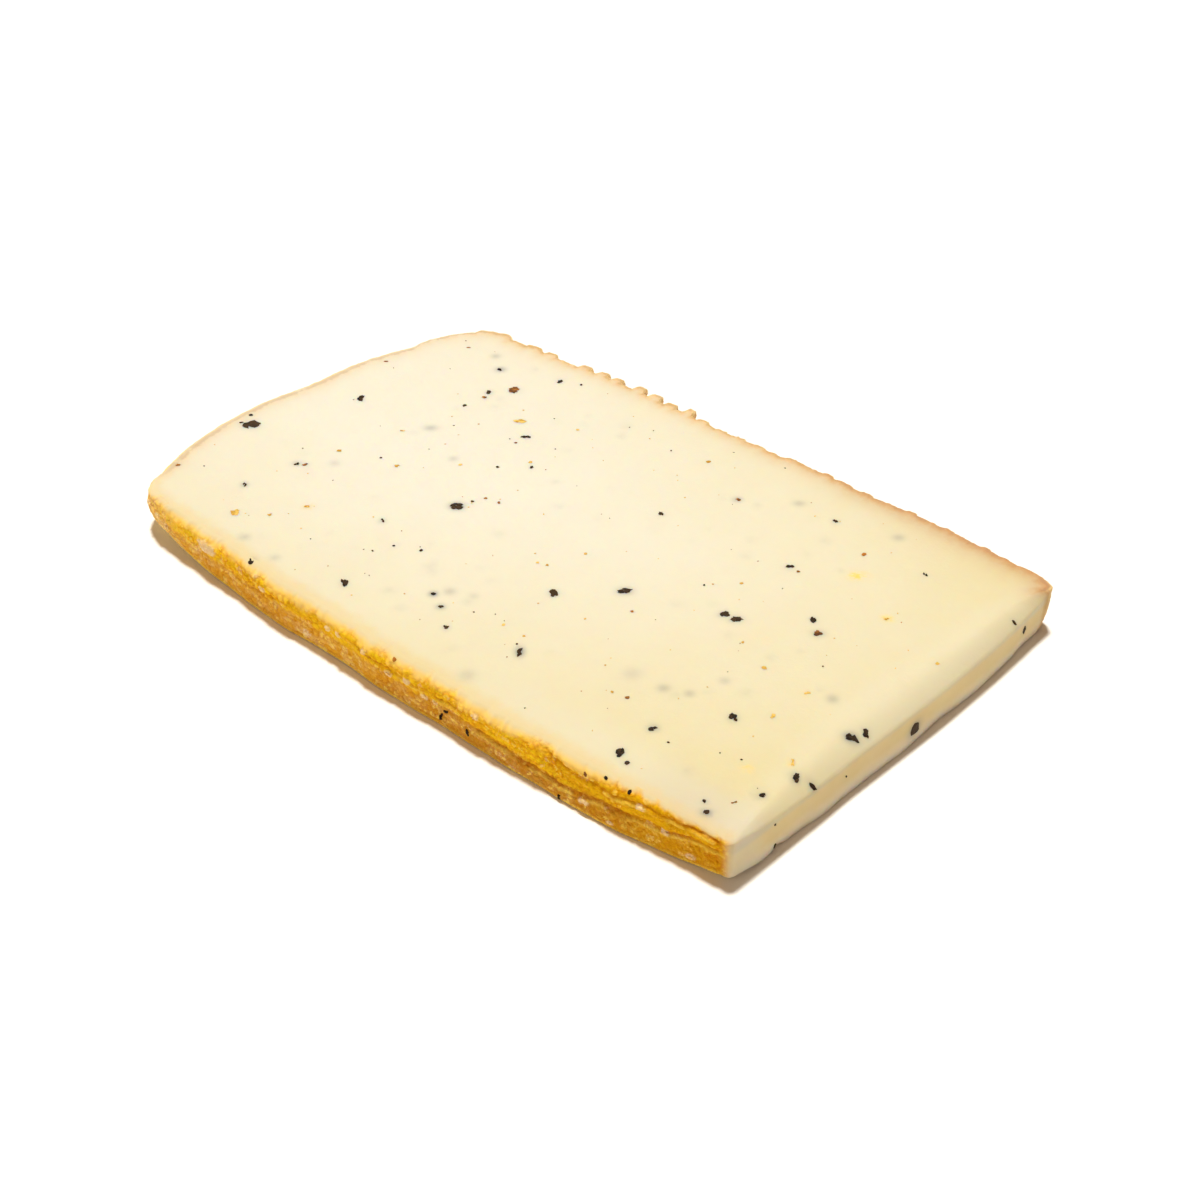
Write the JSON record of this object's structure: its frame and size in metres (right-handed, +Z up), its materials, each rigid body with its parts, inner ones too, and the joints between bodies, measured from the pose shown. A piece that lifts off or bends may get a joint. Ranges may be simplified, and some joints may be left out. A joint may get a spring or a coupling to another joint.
{
  "type": "cheese slice",
  "caption": "Thin slab of semi-hard cheese with dark flecks in the paste and an amber rind round three sides.",
  "frame": {"origin": "under the middle of the slice's bounding box, on the surface it lies on", "axes": "+X from the rounded heel to the straight cut end, +Y from the front rind to the back rind, +Z up"},
  "size_m": [0.1296, 0.0802, 0.0076],
  "materials": {
    "cheese": "satin ivory paste, slightly translucent",
    "rind": "scaly amber rind",
    "black_fleck": "dull black truffle and pepper bits",
    "brown_fleck": "dull brown bits",
    "yellow_fleck": "golden bits"
  },
  "bodies": {
    "root": {"cheese_slice": "cheese"}
  },
  "joints": []
}
